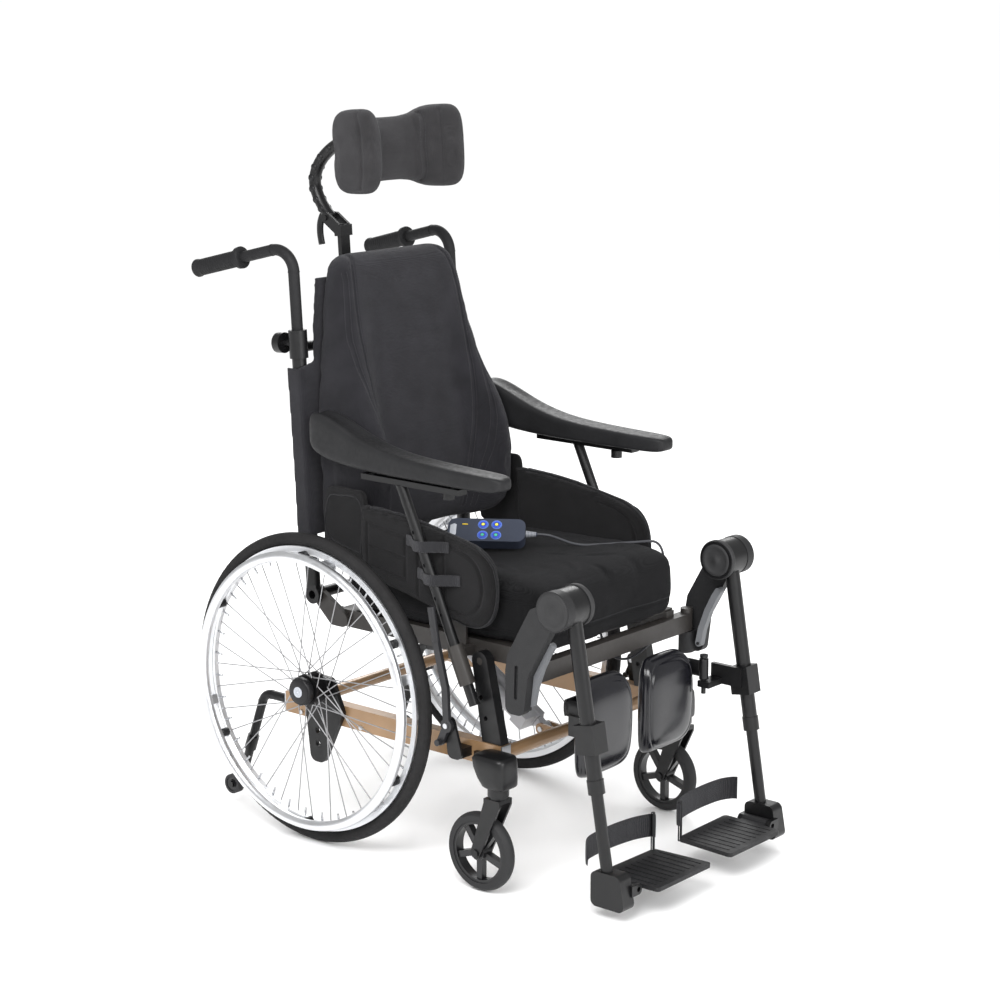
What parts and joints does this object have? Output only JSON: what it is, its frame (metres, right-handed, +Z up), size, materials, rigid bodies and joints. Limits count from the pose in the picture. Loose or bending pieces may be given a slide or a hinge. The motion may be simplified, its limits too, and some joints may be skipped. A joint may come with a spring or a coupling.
{
  "type": "tilt and recline wheelchair",
  "caption": "Comfort wheelchair with powered tilt and recline, big spoked push wheels, castors, swing-away elevating legrests, height-adjustable armrests, headrest and wired handset.",
  "frame": {"origin": "middle of the footprint, on the floor", "axes": "+Z up, -Y the way the chair faces, +X the user's left"},
  "size_m": [0.6654, 1.098, 1.3949],
  "materials": {
    "rail": "satin champagne lacquer",
    "black_steel": "satin black powder coat",
    "grey_steel": "satin dark grey powder coat",
    "zinc": "zinc plated",
    "bright_alloy": "polished aluminium",
    "tyre": "matt rubber with fine tread",
    "castor": "matt rubber on a moulded hub",
    "castor_fork": "satin black powder coat",
    "brake_grey": "satin grey lacquer",
    "seat_fabric": "woven stretch upholstery",
    "panel_fabric": "brushed knit upholstery",
    "back_fabric": "woven stretch upholstery with double seams",
    "head_fabric": "soft knit upholstery",
    "electronics": "moulded case",
    "handset_shell": "moulded case with a soft sheen",
    "button_yellow": "rubber button",
    "button_green": "rubber button",
    "cord": "round PVC cord",
    "armrest_pu": "self-skinned polyurethane",
    "grip": "ribbed rubber over black tube",
    "motor_case": "moulded case",
    "rod_steel": "polished steel",
    "knee_grey": "glass-filled moulding",
    "lever_grey": "satin moulding",
    "leg_steel": "satin anodised",
    "calf_vinyl": "smooth glossy vinyl",
    "footplate_black": "ribbed moulding"
  },
  "bodies": {
    "chassis": {"side_rails": "rail", "cross_tubes": "rail", "side_brackets": "black_steel", "seat_supports": "black_steel", "chassis_hardware": "zinc"},
    "rear_wheel_left": {"tyre_left": "tyre", "wheel_left": "bright_alloy", "handrim_left": "bright_alloy"},
    "rear_wheel_right": {"tyre_right": "tyre", "wheel_right": "bright_alloy", "handrim_right": "bright_alloy"},
    "castor_swivel_left": {"castor_fork_left": "castor_fork"},
    "castor_roll_left": {"castor_wheel_left": "castor"},
    "antitip_left": {"antitip_arm_left": "black_steel"},
    "antitip_roll_left": {"antitip_wheel_left": "castor"},
    "brake_left": {"brake_lever_left": "brake_grey"},
    "castor_swivel_right": {"castor_fork_right": "castor_fork"},
    "castor_roll_right": {"castor_wheel_right": "castor"},
    "antitip_right": {"antitip_arm_right": "black_steel"},
    "antitip_roll_right": {"antitip_wheel_right": "castor"},
    "brake_right": {"brake_lever_right": "brake_grey"},
    "seat": {"seat_frame": "grey_steel", "seat_cushion": "seat_fabric", "side_panel_left": "panel_fabric", "side_panel_right": "panel_fabric", "control_box": "electronics", "handset": "handset_shell", "handset_cable": "cord"},
    "button_recline_back": {"button_recline_back": "button_yellow"},
    "button_recline_up": {"button_recline_up": "button_yellow"},
    "button_tilt_back": {"button_tilt_back": "button_green"},
    "button_tilt_up": {"button_tilt_up": "button_green"},
    "armrest_left": {"armrest_post_left": "black_steel", "armrest_pad_left": "armrest_pu"},
    "armrest_right": {"armrest_post_right": "black_steel", "armrest_pad_right": "armrest_pu"},
    "back": {"back_frame": "black_steel", "back_cover": "back_fabric", "back_cushion": "back_fabric"},
    "push_handle_left": {"push_handle_left": "grip"},
    "push_handle_right": {"push_handle_right": "grip"},
    "headrest_mast": {"headrest_bar": "black_steel"},
    "headrest_link": {"headrest_arm": "black_steel"},
    "headrest": {"headrest_pad": "head_fabric"},
    "tilt_motor": {"tilt_motor": "motor_case"},
    "tilt_rod": {"tilt_rod": "rod_steel"},
    "recline_motor": {"recline_motor": "motor_case"},
    "recline_rod": {"recline_rod": "rod_steel"},
    "hanger_left": {"legrest_hanger_left": "knee_grey"},
    "release_left": {"release_lever_left": "lever_grey"},
    "leg_left": {"legrest_tube_left": "knee_grey"},
    "foot_left": {"foot_tube_left": "leg_steel"},
    "calf_left": {"calf_pad_left": "calf_vinyl"},
    "footplate_left": {"footplate_left": "footplate_black"},
    "hanger_right": {"legrest_hanger_right": "knee_grey"},
    "release_right": {"release_lever_right": "lever_grey"},
    "leg_right": {"legrest_tube_right": "knee_grey"},
    "foot_right": {"foot_tube_right": "leg_steel"},
    "calf_right": {"calf_pad_right": "calf_vinyl"},
    "footplate_right": {"footplate_right": "footplate_black"}
  },
  "joints": [
    {"name": "rear_wheel_left_roll", "type": "hinge", "parent": "chassis", "child": "rear_wheel_left", "pos_m": [0.289, 0.21304, 0.305], "axis": [1, 0, 0], "continuous": true},
    {"name": "rear_wheel_right_roll", "type": "hinge", "parent": "chassis", "child": "rear_wheel_right", "pos_m": [-0.289, 0.21304, 0.305], "axis": [1, 0, 0], "continuous": true},
    {"name": "castor_left_swivel", "type": "hinge", "parent": "chassis", "child": "castor_swivel_left", "pos_m": [0.284, -0.25196, 0.22], "axis": [0, 0, 1], "continuous": true},
    {"name": "castor_left_roll", "type": "hinge", "parent": "castor_swivel_left", "child": "castor_roll_left", "pos_m": [0.284, -0.21196, 0.075], "axis": [1, 0, 0], "continuous": true},
    {"name": "antitip_left_swing", "type": "hinge", "parent": "chassis", "child": "antitip_left", "pos_m": [0.2345, 0.36304, 0.247], "axis": [0, 1, 0], "range_deg": [0, 90]},
    {"name": "antitip_left_roll", "type": "hinge", "parent": "antitip_left", "child": "antitip_roll_left", "pos_m": [0.254, 0.47004, 0.047], "axis": [1, 0, 0], "continuous": true},
    {"name": "wheel_lock_left", "type": "hinge", "parent": "chassis", "child": "brake_left", "pos_m": [0.287, -0.13196, 0.3], "axis": [1, 0, 0], "range_deg": [0, 22]},
    {"name": "castor_right_swivel", "type": "hinge", "parent": "chassis", "child": "castor_swivel_right", "pos_m": [-0.284, -0.25196, 0.22], "axis": [0, 0, 1], "continuous": true},
    {"name": "castor_right_roll", "type": "hinge", "parent": "castor_swivel_right", "child": "castor_roll_right", "pos_m": [-0.284, -0.21196, 0.075], "axis": [1, 0, 0], "continuous": true},
    {"name": "antitip_right_swing", "type": "hinge", "parent": "chassis", "child": "antitip_right", "pos_m": [-0.2345, 0.36304, 0.247], "axis": [0, -1, 0], "range_deg": [0, 90]},
    {"name": "antitip_right_roll", "type": "hinge", "parent": "antitip_right", "child": "antitip_roll_right", "pos_m": [-0.254, 0.47004, 0.047], "axis": [1, 0, 0], "continuous": true},
    {"name": "wheel_lock_right", "type": "hinge", "parent": "chassis", "child": "brake_right", "pos_m": [-0.287, -0.13196, 0.3], "axis": [1, 0, 0], "range_deg": [0, 22]},
    {"name": "seat_tilt", "type": "hinge", "parent": "chassis", "child": "seat", "pos_m": [0, -0.17196, 0.42], "axis": [-1, 0, 0], "range_deg": [0, 19]},
    {"name": "button_recline_back_press", "type": "slide", "parent": "seat", "child": "button_recline_back", "axis": [0.5265, 0.3687, -0.766], "range_m": [0, 0.0008], "stiffness_N_per_m": 500},
    {"name": "button_recline_up_press", "type": "slide", "parent": "seat", "child": "button_recline_up", "axis": [0.5265, 0.3687, -0.766], "range_m": [0, 0.0008], "stiffness_N_per_m": 500},
    {"name": "button_tilt_back_press", "type": "slide", "parent": "seat", "child": "button_tilt_back", "axis": [0.5265, 0.3687, -0.766], "range_m": [0, 0.0008], "stiffness_N_per_m": 500},
    {"name": "button_tilt_up_press", "type": "slide", "parent": "seat", "child": "button_tilt_up", "axis": [0.5265, 0.3687, -0.766], "range_m": [0, 0.0008], "stiffness_N_per_m": 500},
    {"name": "armrest_left_height", "type": "slide", "parent": "seat", "child": "armrest_left", "axis": [0, 0.4153, 0.9097], "range_m": [-0.02, 0.05]},
    {"name": "armrest_right_height", "type": "slide", "parent": "seat", "child": "armrest_right", "axis": [0, 0.4153, 0.9097], "range_m": [-0.02, 0.05]},
    {"name": "back_recline", "type": "hinge", "parent": "seat", "child": "back", "pos_m": [0, 0.26504, 0.47], "axis": [-1, 0, 0], "range_deg": [0, 30]},
    {"name": "push_handle_left_height", "type": "slide", "parent": "back", "child": "push_handle_left", "axis": [0, 0.0631, 0.998], "range_m": [-0.05, 0.1]},
    {"name": "push_handle_right_height", "type": "slide", "parent": "back", "child": "push_handle_right", "axis": [0, 0.0631, 0.998], "range_m": [-0.05, 0.1]},
    {"name": "headrest_height", "type": "slide", "parent": "back", "child": "headrest_mast", "axis": [0, 0.0631, 0.998], "range_m": [0, 0.12]},
    {"name": "headrest_reach", "type": "hinge", "parent": "headrest_mast", "child": "headrest_link", "pos_m": [0, 0.42077, 1.17357], "axis": [1, 0, 0], "range_deg": [-20, 20]},
    {"name": "headrest_angle", "type": "hinge", "parent": "headrest_link", "child": "headrest", "pos_m": [0, 0.36562, 1.33137], "axis": [1, 0, 0], "range_deg": [-25, 25]},
    {"name": "tilt_ram_pivot", "type": "hinge", "parent": "chassis", "child": "tilt_motor", "pos_m": [-0.06, -0.17896, 0.25], "axis": [-1, 0, 0], "range_deg": [-0.5, 15]},
    {"name": "tilt_ram_stroke", "type": "slide", "parent": "tilt_motor", "child": "tilt_rod", "axis": [0, 0.841, 0.5411], "range_m": [-0.055, 0.001]},
    {"name": "recline_ram_pivot", "type": "hinge", "parent": "seat", "child": "recline_motor", "pos_m": [0.06, -0.11696, 0.412], "axis": [1, 0, 0], "range_deg": [-0.5, 4]},
    {"name": "recline_ram_stroke", "type": "slide", "parent": "recline_motor", "child": "recline_rod", "axis": [0, 0.9993, -0.0386], "range_m": [-0.038, 0.001]},
    {"name": "legrest_left_swing", "type": "hinge", "parent": "seat", "child": "hanger_left", "pos_m": [0.25, -0.28296, 0.373], "axis": [0, 0, 1], "range_deg": [0, 90]},
    {"name": "release_left_press", "type": "hinge", "parent": "hanger_left", "child": "release_left", "pos_m": [0.258, -0.30996, 0.372], "axis": [1, 0, 0], "range_deg": [0, 8], "stiffness_Nm_per_rad": 2},
    {"name": "legrest_left_elevation", "type": "hinge", "parent": "hanger_left", "child": "leg_left", "pos_m": [0.243, -0.37696, 0.557], "axis": [-1, 0, 0], "range_deg": [0, 70]},
    {"name": "foot_left_length", "type": "slide", "parent": "leg_left", "child": "foot_left", "axis": [0, 0.1706, 0.9853], "range_m": [0, 0.06]},
    {"name": "calf_pad_left_swing", "type": "hinge", "parent": "leg_left", "child": "calf_left", "pos_m": [0.181, -0.37496, 0.34], "axis": [0, 0, -1], "range_deg": [0, 40]},
    {"name": "footplate_left_flip", "type": "hinge", "parent": "foot_left", "child": "footplate_left", "pos_m": [0.213, -0.48196, 0.056], "axis": [0, 1, 0], "range_deg": [0, 90]},
    {"name": "legrest_right_swing", "type": "hinge", "parent": "seat", "child": "hanger_right", "pos_m": [-0.25, -0.28296, 0.373], "axis": [0, 0, -1], "range_deg": [0, 90]},
    {"name": "release_right_press", "type": "hinge", "parent": "hanger_right", "child": "release_right", "pos_m": [-0.258, -0.30996, 0.372], "axis": [1, 0, 0], "range_deg": [0, 8], "stiffness_Nm_per_rad": 2},
    {"name": "legrest_right_elevation", "type": "hinge", "parent": "hanger_right", "child": "leg_right", "pos_m": [-0.243, -0.37696, 0.557], "axis": [-1, 0, 0], "range_deg": [0, 70]},
    {"name": "foot_right_length", "type": "slide", "parent": "leg_right", "child": "foot_right", "axis": [0, 0.1706, 0.9853], "range_m": [0, 0.06]},
    {"name": "calf_pad_right_swing", "type": "hinge", "parent": "leg_right", "child": "calf_right", "pos_m": [-0.181, -0.37496, 0.34], "axis": [0, 0, 1], "range_deg": [0, 40]},
    {"name": "footplate_right_flip", "type": "hinge", "parent": "foot_right", "child": "footplate_right", "pos_m": [-0.213, -0.48196, 0.056], "axis": [0, -1, 0], "range_deg": [0, 90]}
  ],
  "couplings": [
    {"joint": "tilt_ram_pivot", "follows": "seat_tilt", "ratio": 0.72579},
    {"joint": "tilt_ram_stroke", "follows": "seat_tilt", "m_per_rad": -0.14778},
    {"joint": "recline_ram_pivot", "follows": "back_recline", "ratio": 0.096438},
    {"joint": "recline_ram_stroke", "follows": "back_recline", "m_per_rad": -0.065836}
  ]
}
